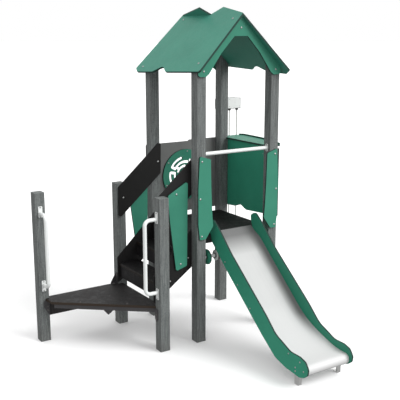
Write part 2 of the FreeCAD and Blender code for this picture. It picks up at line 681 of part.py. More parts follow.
def roof_panel(side):
    """Sloping panel. Its crest covers half of the ridge, and the other panel butts under it."""
    butt = ROOF_THICK
    outline = [(-488, 0, 6), (-107, -85, 10), (-4, 4, 4), (-4, butt, 0), (488, butt, 6), (542, 704, 12),
               (470, 745, 12), (203, 730, 60), (93, 655, 60), (-15, 717, 60), (-524, 687, 10),
               (-533, 669, 6)]
    flat = plate(outline, "z", -ROOF_THICK, ROOF_THICK, 10)
    turn = FreeCAD.Matrix()
    origin = roof_point(0, 0, side)
    along = roof_point(1, 0, side) - origin
    down = roof_point(0, 1, side) - origin
    normal = along.cross(down)
    turn.A11, turn.A21, turn.A31 = along.x, along.y, along.z
    turn.A12, turn.A22, turn.A32 = down.x, down.y, down.z
    turn.A13, turn.A23, turn.A33 = normal.x, normal.y, normal.z
    turn.A14, turn.A24, turn.A34 = origin.x, origin.y, origin.z
    if normal.z < 0:
        flat.translate(V(0, 0, ROOF_THICK))
    return flat.transformGeometry(turn)


def make_roof():
    add("roof_panel_left", roof_panel("left"))
    add("roof_panel_right", roof_panel("right"))
    half = [(448, ROOF_UNDER_Z - 448), (448, 2430, 10), (430, 2417, 10), (369, 2415, 14), (335, 2440, 14),
            (270, 2530, 60), (207, 2615, 60), (71, 2757, 14)]
    outline = [(MID, ROOF_UNDER_Z, 0)] + [(MID - p[0], p[1], p[2] if len(p) > 2 else 0) for p in half]
    outline += [(MID + p[0], p[1], p[2] if len(p) > 2 else 0) for p in reversed(half)]
    gable = plate(outline, "y", FRONT - PANEL, PANEL, 10)
    add("gable_boards", gable, mirror_y(gable))
    for y, side in ((FRONT - PANEL, "-y"), (BACK + PANEL, "+y")):
        for x in (MID - 391, MID + 391):
            bolt("roof_bolts", x, y, 2462, side, 60)
        bolt("roof_bolts", MID, y, 2828, side, 19)
    make_ridge_brackets()
    for slope, sign in (("left", -1), ("right", 1)):
        outward = V(sign, 0, 1)
        outward.normalize()
        for along, below, depth in ((435, 680, ROOF_THICK + 4), (-435, 598, 60)):
            spot = roof_point(along, below, slope)
            bolt("roof_bolts", spot.x, spot.y, spot.z, outward, depth)
        for along in (404, -404):
            spot = roof_point(along, 68, slope)
            bolt("roof_bolts", spot.x, spot.y, spot.z, outward, ROOF_THICK + 4)


def make_ridge_brackets():
    """Folded plate under each end of the ridge: it holds both slopes and the gable board."""
    thick = 4.0
    drop = thick * math.sqrt(2)
    wing = [(MID, ROOF_UNDER_Z, 0), (MID - 82, ROOF_UNDER_Z - 82, 0),
            (MID - 82 + thick / 2, ROOF_UNDER_Z - 82 - drop, 0), (MID, ROOF_UNDER_Z - drop, 0)]
    web = [(MID, ROOF_UNDER_Z - 1, 0), (MID - 60, ROOF_UNDER_Z - 61, 0), (MID - 30, 2800, 10),
           (MID + 30, 2800, 10), (MID + 60, ROOF_UNDER_Z - 61, 0)]
    left = plate(wing, "y", FRONT, 74, 0)
    bracket = together([left, mirror_x(left), plate(web, "y", FRONT, thick, 0)])
    add("ridge_brackets", bracket, mirror_y(bracket))


# ---------------------------------------------------------------- hoist

AXLE_X = 1004.0
WHEEL_Y = 885.0
AXLE_Z = 2085.0
GROOVE_R = 46.0                    # radius of the rope's centre line on the wheel
ROPE_R = 6.5
CHEEK = 8.0
INNER_CHEEK = BACK
OUTER_CHEEK = 908.5
CHEEK_LOW = 2024.0
CHEEK_TOP = 2134.0
ROPE_ENDS = (640.0, 420.0)         # lower end of the left and of the right strand
BALL_R = 24.0


def make_hoist():
    inner = [(TOWER - H, CHEEK_LOW), (1084, CHEEK_LOW), (1084, CHEEK_TOP), (TOWER - H, CHEEK_TOP)]
    outer = [(918, CHEEK_LOW), (1084, CHEEK_LOW), (1084, CHEEK_TOP), (918, CHEEK_TOP)]
    axle_hole = rod(V(AXLE_X, 800, AXLE_Z), V(AXLE_X, 1000, AXLE_Z), 8.05)
    add("hoist_cheek_inner", plate(inner, "y", INNER_CHEEK, CHEEK, 14).cut(axle_hole))
    add("hoist_cheek_outer", plate(outer, "y", OUTER_CHEEK, CHEEK, 14).cut(axle_hole))
    spacers = []
    for x in (936.0, 1068.0):
        for z in (CHEEK_LOW + 17, CHEEK_TOP - 17):
            spacers.append(tube(V(x, INNER_CHEEK + CHEEK, z), V(x, OUTER_CHEEK, z), 9, 4.2))
            bolt("roof_bolts", x, OUTER_CHEEK + CHEEK, z, "+y", OUTER_CHEEK + CHEEK - INNER_CHEEK, 8)
    add("hoist_spacers", *spacers)
    start = V(AXLE_X, INNER_CHEEK + 0.5, AXLE_Z)
    pin = rod(start, V(AXLE_X, OUTER_CHEEK + CHEEK, AXLE_Z), 8)
    head = rod(V(AXLE_X, OUTER_CHEEK + CHEEK, AXLE_Z), V(AXLE_X, OUTER_CHEEK + CHEEK + 7, AXLE_Z), 13)
    add("hoist_axle", together([pin, head]))
    wheel = rod(V(AXLE_X, WHEEL_Y - 13, AXLE_Z), V(AXLE_X, WHEEL_Y + 13, AXLE_Z), 51)
    groove = Part.makeTorus(GROOVE_R, ROPE_R + 0.7, V(AXLE_X, WHEEL_Y, AXLE_Z), V(0, 1, 0))
    wheel = wheel.cut(groove).cut(tube(V(AXLE_X, WHEEL_Y - ROPE_R - 0.7, AXLE_Z),
                                       V(AXLE_X, WHEEL_Y + ROPE_R + 0.7, AXLE_Z), 60, GROOVE_R))
    bore = rod(V(AXLE_X, 800, AXLE_Z), V(AXLE_X, 1000, AXLE_Z), 8.05)
    hub = rod(V(AXLE_X, INNER_CHEEK + CHEEK + 0.5, AXLE_Z), V(AXLE_X, OUTER_CHEEK - 0.5, AXLE_Z), 15)
    add("pulley_wheel", together([wheel, hub]).cut(bore))
    for x, z in ((780, 2105), (826, 2052)):
        bolt("roof_bolts", x, INNER_CHEEK + CHEEK, z, "+y", 60)
    make_rope()


def make_rope():
    left = AXLE_X - GROOVE_R
    right = AXLE_X + GROOVE_R
    top = AXLE_Z + GROOVE_R
    low_left, corner_left, corner_right, low_right = [
        V(x, WHEEL_Y, z) for x, z in ((left, ROPE_ENDS[0]), (left, top), (right, top), (right, ROPE_ENDS[1]))]
    path = Part.Wire([
        Part.makeLine(low_left, corner_left - V(0, 0, GROOVE_R)),
        Part.Arc(corner_left - V(0, 0, GROOVE_R), (corner_left + corner_right) / 2,
                 corner_right - V(0, 0, GROOVE_R)).toShape(),
        Part.makeLine(corner_right - V(0, 0, GROOVE_R), low_right)])
    section = Part.Wire(Part.makeCircle(ROPE_R, low_left, V(0, 0, 1)))
    rope = path.makePipeShell([section], True, False)
    add("hoist_rope", rope)
    area = math.pi * ROPE_R ** 2
    print("rope length", round(path.Length), "volume / (section x length)",
          round(rope.Volume / (area * path.Length), 4), "arc radius", GROOVE_R)
    balls = []
    for x, z in ((left, ROPE_ENDS[0]), (right, ROPE_ENDS[1])):
        balls.append(Part.makeSphere(BALL_R, V(x, WHEEL_Y, z - BALL_R + 0.6)).cut(
            rod(V(x, WHEEL_Y, z), V(x, WHEEL_Y, z + 10), BALL_R)))
    add("rope_balls", *balls)
    plate_low = CHEEK_LOW - 5
    bridge = box(AXLE_X - 76, AXLE_X + 76, INNER_CHEEK, OUTER_CHEEK + CHEEK, plate_low, CHEEK_LOW)
    eyes = [rod(V(x, WHEEL_Y, plate_low - 18), V(x, WHEEL_Y, CHEEK_LOW), 15) for x in (left, right)]
    holes = [rod(V(x, WHEEL_Y, 1900), V(x, WHEEL_Y, 2100), ROPE_R + 1.2) for x in (left, right)]
    add("rope_guide", together([bridge] + eyes).cut(holes[0]).cut(holes[1]))


# ---------------------------------------------------------------- spinner

SPIN_Z = 792.0
SPIN_R = 15.0
DISCS = (("spinner_disc_green", 90.0, 70.0), ("spinner_disc_grey", 190.0, 50.0))  # middle and radius
DISC_THICK = 15.0
COLLAR = 9.0


def make_spinner():
    start = V(INNER_LOW, 0, SPIN_Z)
    end = V(INNER_HIGH, 0, SPIN_Z)
    bar = tube(start, end, SPIN_R, SPIN_R - 2.5)
    ends = []
    for x in (INNER_LOW, INNER_HIGH - FLANGE):
        flange = rod(V(x, 0, SPIN_Z), V(x + FLANGE, 0, SPIN_Z), 38)
        ends.append(flange.cut(rod(start, end, SPIN_R - 2.5)))
    add("spinner_tube", together([bar] + ends))
    for step in (-26, 26):
        bolt("bar_bolts", INNER_LOW + FLANGE, 0, SPIN_Z + step, "+x", 50, 8)
        bolt("bar_bolts", INNER_HIGH - FLANGE, 0, SPIN_Z + step, "-x", 50, 8)
    for name, x, radius in DISCS:
        low = x - DISC_THICK / 2
        disc = rod(V(low, 0, SPIN_Z), V(low + DISC_THICK, 0, SPIN_Z), radius)
        rim = [e for e in disc.Edges if e.BoundBox.YLength > radius]
        disc = disc.makeFillet(2.5, rim)
        bore = rod(V(low - 1, 0, SPIN_Z), V(low + DISC_THICK + 1, 0, SPIN_Z), SPIN_R + 0.05)
        add(name, disc.cut(bore))
    collars = []
    for _, x, _ in DISCS:
        for low in (x - DISC_THICK / 2 - 0.5 - COLLAR, x + DISC_THICK / 2 + 0.5):
            collars.append(tube(V(low, 0, SPIN_Z), V(low + COLLAR, 0, SPIN_Z), 22, SPIN_R))
    add("spinner_collars", *collars)


# ---------------------------------------------------------------- build and write

def write(name, shapes):
    shape = shapes[0] if len(shapes) == 1 else Part.makeCompound(shapes)
    shape.exportStep("parts/" + name + ".step")


def main():
    make_posts()
    make_deck()
    make_podium()
    make_steps()
    make_flank_panels()
    make_guard_bar()
    make_handles()
    make_slide()
    make_counter()
    make_maze()
    make_roof()
    make_hoist()
    make_spinner()
    os.makedirs("parts", exist_ok=True)
    for name, shapes in solids.items():
        write(name, [drill(shape) for shape in shapes])
    for name, items in bolt_groups.items():
        write(name, [bolt_solid(*item) for item in items])
    print("nodes", len(solids) + len(bolt_groups))


main()
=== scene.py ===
import math

import bmesh
import bpy
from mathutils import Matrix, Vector


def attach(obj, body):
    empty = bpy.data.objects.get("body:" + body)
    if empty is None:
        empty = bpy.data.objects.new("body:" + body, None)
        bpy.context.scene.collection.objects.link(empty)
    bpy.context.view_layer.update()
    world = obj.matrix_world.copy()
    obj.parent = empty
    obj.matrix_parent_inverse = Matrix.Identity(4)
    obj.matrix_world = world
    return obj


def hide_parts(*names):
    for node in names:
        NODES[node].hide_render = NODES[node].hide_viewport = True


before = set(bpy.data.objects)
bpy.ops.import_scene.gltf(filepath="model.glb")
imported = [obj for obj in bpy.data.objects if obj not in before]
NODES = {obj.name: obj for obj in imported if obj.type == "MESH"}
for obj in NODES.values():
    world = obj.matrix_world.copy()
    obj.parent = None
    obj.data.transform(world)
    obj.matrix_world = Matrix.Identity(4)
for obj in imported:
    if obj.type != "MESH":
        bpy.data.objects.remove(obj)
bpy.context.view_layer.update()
SCENE = bpy.context.scene


# ------------------------------------------------------------------ camera

def make_camera():
    """The main view: from the front left, nearly as high as the roof's ridge, looking down a little."""
    lens = bpy.data.cameras.new("camera")
    lens.lens = 67.2
    lens.sensor_width = 36
    lens.clip_start = 0.1
    lens.clip_end = 200
    camera = bpy.data.objects.new("camera", lens)
    camera.location = (-3.541, -5.425, 2.792)
    camera.rotation_euler = (math.radians(77.31), 0, math.radians(-33.24))
    SCENE.collection.objects.link(camera)
    SCENE.camera = camera


# ------------------------------------------------------------------ node helpers

def new(tree, kind, inputs=None, **settings):
    """One shader node: its settings, and its inputs as values or as other nodes' outputs."""
    made = tree.nodes.new("ShaderNode" + kind)
    for name, value in settings.items():
        setattr(made, name, value)
    for name, value in (inputs or {}).items():
        if isinstance(value, bpy.types.NodeSocket):
            tree.links.new(value, made.inputs[name])
        else:
            made.inputs[name].default_value = value
    return made


def mix(tree, factor, low, high):
    """A colour between low and high, which are colours or other nodes' outputs."""
    made = tree.nodes.new("ShaderNodeMix")
    made.data_type = "RGBA"
    for socket, value in ((0, factor), (6, low), (7, high)):
        if isinstance(value, bpy.types.NodeSocket):
            tree.links.new(value, made.inputs[socket])
        elif socket == 0:
            made.inputs[0].default_value = value
        else:
            made.inputs[socket].default_value = (*value, 1)
    return made.outputs[2]


def remap(tree, value, low, high, to_low=0.0, to_high=1.0):
    """A value moved from one range to another and held inside it."""
    made = new(tree, "MapRange", {"Value": value, "From Min": low, "From Max": high,
                                  "To Min": to_low, "To Max": to_high})
    return made.outputs["Result"]


def maths(tree, operation, first, second=None):
    """One sum on numbers or on other nodes' outputs."""
    made = tree.nodes.new("ShaderNodeMath")
    made.operation = operation
    for socket, value in enumerate((first, second)):
        if isinstance(value, bpy.types.NodeSocket):
            tree.links.new(value, made.inputs[socket])
        elif value is not None:
            made.inputs[socket].default_value = value
    return made.outputs[0]


def place(tree, scale=(1, 1, 1), turn=(0, 0, 0), shift=(0, 0, 0)):
    """Coordinates of a piece in metres, scaled for a pattern that is longer one way."""
    where = new(tree, "TexCoord").outputs["Object"]
    made = new(tree, "Mapping", {"Vector": where, "Scale": scale, "Rotation": turn, "Location": shift})
    return made.outputs["Vector"]


def noise(tree, where, scale, detail, rough=0.6):
    """Soft random pattern from 0 to 1, with about this many features to a metre."""
    made = new(tree, "TexNoise", {"Vector": where, "Scale": scale, "Detail": detail, "Roughness": rough})
    return made.outputs["Fac"]


def edges(tree, radius):
    """1 on a sharp edge and 0 away from it, and the normal that rounds it."""
    soft = new(tree, "Bevel", {"Radius": radius}, samples=4).outputs["Normal"]
    plain = new(tree, "NewGeometry").outputs["Normal"]
    dot = new(tree, "VectorMath", {0: soft, 1: plain}, operation="DOT_PRODUCT").outputs["Value"]
    return remap(tree, dot, 0.995, 0.65), soft


def surface(made, colour, rough, height, depth, normal, **inputs):
    """Joins colour, roughness and bump into one principled surface."""
    tree = made.node_tree
    bump = new(tree, "Bump", {"Height": height, "Distance": depth, "Strength": 1.0, "Normal": normal})
    values = {"Base Color": colour, "Roughness": rough, "Normal": bump.outputs["Normal"]}
    values.update(inputs)
    shader = new(tree, "BsdfPrincipled", values)
    out = new(tree, "OutputMaterial")
    tree.links.new(shader.outputs[0], out.inputs[0])


def blank(name):
    """An empty material."""
    made = bpy.data.materials.new(name)
    made.use_nodes = True
    made.node_tree.nodes.clear()
    return made


def flat(tree, axis):
    """1 where the surface faces along the axis, either way: the broad faces of a board."""
    facing = new(tree, "TexCoord").outputs["Normal"]
    made = new(tree, "VectorMath", {0: facing, 1: axis}, operation="DOT_PRODUCT").outputs["Value"]
    return remap(tree, maths(tree, "ABSOLUTE", made), 0.55, 0.8)


def near_ground(tree, height):
    """1 on the ground, fading to 0 at a height: splashed dirt."""
    z = new(tree, "SeparateXYZ", {"Vector": new(tree, "TexCoord").outputs["Object"]}).outputs["Z"]
    return remap(tree, z, height, 0.0)


# ------------------------------------------------------------------ materials

def post_material():
    """Extruded recycled composite: long streaks, pale flecks, dark pits and rubbed corners."""
    made = blank("post_grey")
    tree = made.node_tree
    streaks = noise(tree, place(tree, (1, 1, 0.028)), 150, 4)
    bands = noise(tree, place(tree, (1, 1, 0.10)), 42, 3)
    flecks = noise(tree, place(tree, (1, 1, 0.45)), 330, 2)
    patches = noise(tree, place(tree), 5, 2)
    pits = noise(tree, place(tree, (1, 1, 0.35)), 210, 2)
    colour = mix(tree, remap(tree, streaks, 0.36, 0.64), (0.048, 0.053, 0.052), (0.200, 0.217, 0.212))
    colour = mix(tree, remap(tree, bands, 0.35, 0.75, 0, 0.55), colour, (0.075, 0.083, 0.081))
    colour = mix(tree, remap(tree, flecks, 0.56, 0.70, 0, 0.75), colour, (0.29, 0.305, 0.30))
    colour = mix(tree, remap(tree, pits, 0.45, 0.33, 0, 0.85), colour, (0.030, 0.033, 0.032))
    colour = mix(tree, remap(tree, patches, 0.3, 0.7, 0, 0.25), colour, (0.13, 0.142, 0.14))
    edge, normal = edges(tree, 0.003)
    colour = mix(tree, maths(tree, "MULTIPLY", edge, 0.35), colour, (0.25, 0.265, 0.26))
    colour = mix(tree, maths(tree, "MULTIPLY", near_ground(tree, 0.16), 0.22), colour, (0.09, 0.085, 0.075))
    rough = remap(tree, bands, 0.3, 0.7, 0.62, 0.82)
    height = maths(tree, "ADD", streaks, maths(tree, "MULTIPLY", flecks, 0.6))
    surface(made, colour, rough, height, 0.0006, normal)
    return made


def panel_material(name, light, dark, core, axis, rough=0.42, middle=None):
    """Solid coloured sheet with a fine grained face; its cut edges show the darker core.

    With a middle, the faces that look towards that x are darker: painted shade."""
    made = blank(name)
    tree = made.node_tree
    cloud = noise(tree, place(tree), 3.2, 4)
    grain = noise(tree, place(tree), 900, 2)
    pores = noise(tree, place(tree), 260, 3)
    scuffs = noise(tree, place(tree, (1, 1, 0.16)), 34, 5, 0.7)
    colour = mix(tree, remap(tree, cloud, 0.3, 0.7), dark, light)
    colour = mix(tree, remap(tree, pores, 0.35, 0.75, 0, 0.14), colour, dark)
    colour = mix(tree, remap(tree, scuffs, 0.66, 0.80, 0, 0.16), colour, [0.5 * c + 0.35 for c in light])
    face = flat(tree, axis)
    if middle is not None:
        x = new(tree, "SeparateXYZ", {"Vector": new(tree, "TexCoord").outputs["Object"]}).outputs["X"]
        facing = new(tree, "SeparateXYZ", {"Vector": new(tree, "TexCoord").outputs["Normal"]}).outputs["X"]
        outward = maths(tree, "MULTIPLY", maths(tree, "SUBTRACT", x, middle), facing)
        # painted shade: the faces that look towards the middle get a darker colour
        colour = mix(tree, remap(tree, outward, 0.05, -0.05), colour, [c * 0.85 for c in dark])
    cuts = noise(tree, place(tree), 120, 3)
    rim = mix(tree, cuts, core, [c * 1.5 for c in core])
    colour = mix(tree, face, rim, colour)
    edge, normal = edges(tree, 0.002)
    colour = mix(tree, maths(tree, "MULTIPLY", edge, 0.15), colour, [0.8 * c + 0.06 for c in light])
    shine = remap(tree, maths(tree, "ADD", pores, scuffs), 0.7, 1.3, rough - 0.06, rough + 0.10)
    shine = maths(tree, "ADD", shine, maths(tree, "MULTIPLY", maths(tree, "SUBTRACT", 1.0, face), 0.2))
    height = maths(tree, "ADD", grain, maths(tree, "MULTIPLY", pores, 0.5))
    surface(made, colour, shine, height, 0.00022, normal, **{"Specular IOR Level": 0.22})
    return made


MESH_TURNS = 155.0                   # wires of the pressed mesh: radians to a metre
PLY_LAYER = 0.0032                   # two veneers of the plywood


def board_material(name, light, dark, ply, axis=(0, 0, 1)):
    """Film faced plywood: pressed wire mesh on the faces, brown layers on the cut edges."""
    made = blank(name)
    tree = made.node_tree
    cloud = noise(tree, place(tree), 4.0, 4)
    wear = noise(tree, place(tree), 16.0, 5, 0.65)
    speck = noise(tree, place(tree), 420.0, 2)
    where = place(tree, (MESH_TURNS,) * 3, (0, 0, math.radians(45)))
    parts = new(tree, "SeparateXYZ", {"Vector": where})
    ridge_a = maths(tree, "ABSOLUTE", maths(tree, "SINE", parts.outputs["X"]))
    ridge_b = maths(tree, "ABSOLUTE", maths(tree, "SINE", parts.outputs["Y"]))
    grid = maths(tree, "MINIMUM", ridge_a, ridge_b)
    face = flat(tree, axis)
    colour = mix(tree, remap(tree, cloud, 0.3, 0.7), dark, light)
    colour = mix(tree, remap(tree, grid, 0.0, 0.45, 0.35, 0.0), colour, [c * 1.5 for c in light])
    colour = mix(tree, remap(tree, wear, 0.52, 0.75, 0, 0.35), colour, [c * 1.9 + 0.01 for c in light])
    colour = mix(tree, remap(tree, speck, 0.62, 0.75, 0, 0.3), colour, [c * 2.2 for c in light])
    layers = new(tree, "SeparateXYZ", {"Vector": place(tree)}).outputs["Z"]
    layers = maths(tree, "SINE", maths(tree, "MULTIPLY", layers, 2 * math.pi / PLY_LAYER))
    fibre = noise(tree, place(tree, (1, 1, 14)), 60.0, 4)
    veneer = mix(tree, remap(tree, layers, -0.6, 0.6), [c * 0.55 for c in ply], ply)
    veneer = mix(tree, remap(tree, fibre, 0.3, 0.7, 0, 0.6), veneer, [c * 0.5 for c in ply])
    colour = mix(tree, face, veneer, colour)
    edge, normal = edges(tree, 0.002)
    colour = mix(tree, maths(tree, "MULTIPLY", edge, 0.3), colour, [c * 2.0 + 0.03 for c in ply])
    rough = remap(tree, wear, 0.35, 0.7, 0.50, 0.74)
    pressed = maths(tree, "MULTIPLY", remap(tree, grid, 0.0, 0.4, 1.0, 0.0), face)
    height = maths(tree, "ADD", pressed, maths(tree, "MULTIPLY", speck, 0.3))
    surface(made, colour, rough, height, 0.0005, normal, **{"Specular IOR Level": 0.25})
    return made


def paint_material(name, light, dark, chip, rough):
    """Powder coat: orange peel, faint clouding and rubbed edges."""
    made = blank(name)
    tree = made.node_tree
    cloud = noise(tree, place(tree), 7.0, 4)
    skin = noise(tree, place(tree), 380.0, 2)
    marks = noise(tree, place(tree, (1, 1, 0.3)), 60.0, 6, 0.7)
    colour = mix(tree, remap(tree, cloud, 0.3, 0.7), dark, light)
    colour = mix(tree, remap(tree, marks, 0.66, 0.78, 0, 0.3), colour, chip)
    edge, normal = edges(tree, 0.0015)
    spots = maths(tree, "MULTIPLY", edge, remap(tree, marks, 0.42, 0.55, 0.1, 0.6))
    colour = mix(tree, spots, colour, chip)
    shine = remap(tree, maths(tree, "ADD", skin, marks), 0.7, 1.3, rough - 0.08, rough + 0.14)
    height = maths(tree, "ADD", skin, maths(tree, "MULTIPLY", marks, 0.4))
    surface(made, colour, shine, height, 0.00025, normal)
    return made


def bed_painted_shade_and_tone(tree, tint, colour):
    """The slide bed's colour, lighter towards the foot, with painted shade at the head and painted shade in
    bands along the sides; and the mask of the side bands: 1 at the sides.
    """
    spot = new(tree, "SeparateXYZ", {"Vector": new(tree, "TexCoord").outputs["Object"]}).outputs
    middle = sum(BED_SIDES) / 2
    reach = BED_SIDES[1] - middle
    aside = maths(tree, "ABSOLUTE", maths(tree, "SUBTRACT", spot["X"], middle))
    # painted shade: dark bands along both sides of the bed, fading out towards the foot
    painted_side_shade = remap(tree, aside, reach - 0.100, reach - 0.025)
    painted_side_shade = maths(tree, "MULTIPLY", painted_side_shade, remap(tree, spot["Z"], 0.230, 0.370))
    # painted shade: darker towards the head of the bed
    painted_head_shade = remap(tree, spot["Z"], 0.81, 0.95, 0, 0.92)
    # lighter towards the foot
    foot_lightening = remap(tree, spot["Z"], 0.18, 0.45, 1, 0)
    colour = mix(tree, foot_lightening, colour, [c * 1.17 for c in tint])
    colour = mix(tree, painted_head_shade, colour, [c * 0.22 for c in tint])
    colour = mix(tree, painted_side_shade, colour, [c * 0.33 for c in tint])
    return colour, painted_side_shade


def steel_material(name, tint, along, rough, scratch=1.0, metallic=1.0, curled=False):
    """Stainless steel with a grain along one direction, rubbed bands and fine scratches."""
    made = blank(name)
    tree = made.node_tree
    grain = noise(tree, place(tree, along), 900.0, 3)
    bands = noise(tree, place(tree, along), 70.0, 4)
    cloud = noise(tree, place(tree), 5.0, 4)
    lines = noise(tree, place(tree, along), 2200.0, 2)
    colour = mix(tree, remap(tree, bands, 0.3, 0.7), [c * 0.94 for c in tint], tint)
    colour = mix(tree, remap(tree, cloud, 0.35, 0.75, 0, 0.25), colour, [c * 0.90 for c in tint])
    edge, normal = edges(tree, 0.0012)
    colour = mix(tree, maths(tree, "MULTIPLY", edge, 0.3), colour, [min(1, c * 1.12) for c in tint])
    shine = remap(tree, maths(tree, "ADD", bands, cloud), 0.7, 1.3, rough - 0.07, rough + 0.09)
    # the slide bed also gets painted shade at its head and along its sides
    if curled:
        colour, painted_side_shade = bed_painted_shade_and_tone(tree, tint, colour)
        shine = maths(tree, "ADD", shine, maths(tree, "MULTIPLY", painted_side_shade, 0.25))
    height = maths(tree, "ADD", grain, maths(tree, "MULTIPLY", lines, 0.4 * scratch))
    surface(made, colour, shine, height, 0.00006 * scratch, normal, Metallic=metallic)
    return made


WHEEL_MIDDLE = (1.004, 0, 2.085)     # a point on the wheel's axis, which runs along y
RING_STEP = 0.0012                   # distance between turned rings


def wheel_material():
    """Turned nylon: fine rings round the axle and a little dust."""
    made = blank("wheel_plastic")
    tree = made.node_tree
    where = place(tree, (1, 0, 1), shift=[-c for c in WHEEL_MIDDLE])
    radius = new(tree, "VectorMath", {0: where}, operation="LENGTH").outputs["Value"]
    rings = maths(tree, "SINE", maths(tree, "MULTIPLY", radius, 2 * math.pi / RING_STEP))
    dust = noise(tree, place(tree), 90.0, 5)
    colour = mix(tree, remap(tree, dust, 0.35, 0.75), (0.018, 0.018, 0.019), (0.05, 0.05, 0.05))
    edge, normal = edges(tree, 0.0015)
    colour = mix(tree, maths(tree, "MULTIPLY", edge, 0.4), colour, (0.12, 0.12, 0.12))
    height = maths(tree, "ADD", rings, maths(tree, "MULTIPLY", dust, 2.0))
    surface(made, colour, remap(tree, dust, 0.3, 0.7, 0.35, 0.6), height, 0.00008, normal)
    return made


def rope_material():
    """Polyester rope: short light and dark yarns, a little dirt and a soft sheen."""
    made = blank("rope_fibre")
    tree = made.node_tree
    yarns = noise(tree, place(tree, (1, 1, 0.5)), 1100.0, 2)
    soil = noise(tree, place(tree, (1, 1, 0.2)), 30.0, 4)
    colour = mix(tree, remap(tree, yarns, 0.3, 0.7), (0.36, 0.36, 0.345), (0.74, 0.74, 0.71))
    colour = mix(tree, remap(tree, soil, 0.45, 0.8, 0, 0.4), colour, (0.36, 0.35, 0.31))
    plain = new(tree, "NewGeometry").outputs["Normal"]
    rough = remap(tree, soil, 0.3, 0.7, 0.75, 0.92)
    surface(made, colour, rough, yarns, 0.0004, plain, **{"Sheen Weight": 0.35})
    return made


def make_materials():
    """Every material by its short name."""
    green = ((0.044, 0.228, 0.152), (0.035, 0.192, 0.129), (0.010, 0.030, 0.023))
    # painted light: a brighter copy of the panel green for panels that face along x, making up for the lamp
    # light those faces miss
    shade = ((0.036, 0.285, 0.182), (0.030, 0.245, 0.156), (0.008, 0.026, 0.020))
    roof = ((0.052, 0.262, 0.188), (0.043, 0.228, 0.164), (0.012, 0.036, 0.028))
    black = ((0.0135, 0.0128, 0.0128), (0.0085, 0.0082, 0.0082), (0.007, 0.007, 0.007))
    grey = ((0.185, 0.188, 0.185), (0.150, 0.153, 0.150), (0.060, 0.060, 0.060))
    slope = math.sqrt(0.5)
    return {
        "post": post_material(),
        "green_x": panel_material("green_x", *shade, (1, 0, 0)),
        "slide": panel_material("slide_green", *shade, (1, 0, 0), middle=sum(BED_SIDES) / 2),
        "green_y": panel_material("green_y", *green, (0, 1, 0)),
        "green_z": panel_material("green_z", *green, (0, 0, 1)),
        "roof_left": panel_material("roof_left", *roof, (-slope, 0, slope)),
        "roof_right": panel_material("roof_right", *roof, (slope, 0, slope)),
        "black_y": panel_material("black_y", *black, (0, 1, 0), 0.5),
        "grey_y": panel_material("grey_y", *grey, (0, 1, 0), 0.46),
        "disc_grey": panel_material("disc_grey", (0.80, 0.82, 0.80), (0.70, 0.72, 0.70),
                                    (0.06, 0.06, 0.06), (1, 0, 0)),
        "deck": board_material("deck_film", (0.010, 0.0098, 0.010), (0.006, 0.0058, 0.006),
                               (0.030, 0.021, 0.015)),
        "podium": board_material("podium_film", (0.020, 0.0185, 0.0185), (0.014, 0.013, 0.013),
                                 (0.052, 0.036, 0.025)),
        "tread": board_material("tread_film", (0.0085, 0.0078, 0.0082), (0.0055, 0.0050, 0.0054),
                                (0.016, 0.012, 0.009)),
        "riser": board_material("riser_film", (0.0085, 0.0080, 0.0088), (0.0055, 0.0052, 0.0058),
                                (0.016, 0.012, 0.009), (1, 0, 0)),
        "skirt": board_material("skirt_film", (0.036, 0.032, 0.032), (0.026, 0.023, 0.023),
                                (0.06, 0.035, 0.022), (0, 1, 0)),
        "steel_dark": paint_material("steel_dark", (0.026, 0.026, 0.027), (0.018, 0.018, 0.019),
                                     (0.16, 0.155, 0.15), 0.5),
        "bracket": paint_material("bracket_paint", (0.052, 0.050, 0.052), (0.038, 0.036, 0.038),
                                  (0.2, 0.2, 0.2), 0.5),
        "white": paint_material("tube_white", (0.80, 0.82, 0.81), (0.72, 0.745, 0.735),
                                (0.48, 0.49, 0.48), 0.3),
        "cheek": paint_material("cheek_grey", (0.74, 0.75, 0.74), (0.66, 0.67, 0.66),
                                (0.42, 0.42, 0.41), 0.4),
        "stainless": steel_material("stainless", (0.72, 0.72, 0.71), (1, 1, 0.05), 0.36),
        "bed": steel_material("bed_steel", (0.50, 0.502, 0.50), (1, 0.02, 0.02), 0.62, metallic=0.10,
                              curled=True),
        "bolt": steel_material("bolt_steel", (0.42, 0.425, 0.42), (1, 1, 1), 0.42, scratch=2.0),
        "bolt_dark": paint_material("bolt_dark", (0.115, 0.108, 0.100), (0.080, 0.076, 0.072),
                                    (0.26, 0.26, 0.25), 0.45),
        "wheel": wheel_material(),
        "rope": rope_material(),
        "ball": paint_material("ball_plastic", (0.030, 0.030, 0.031), (0.018, 0.018, 0.019),
                               (0.10, 0.10, 0.10), 0.30),
    }


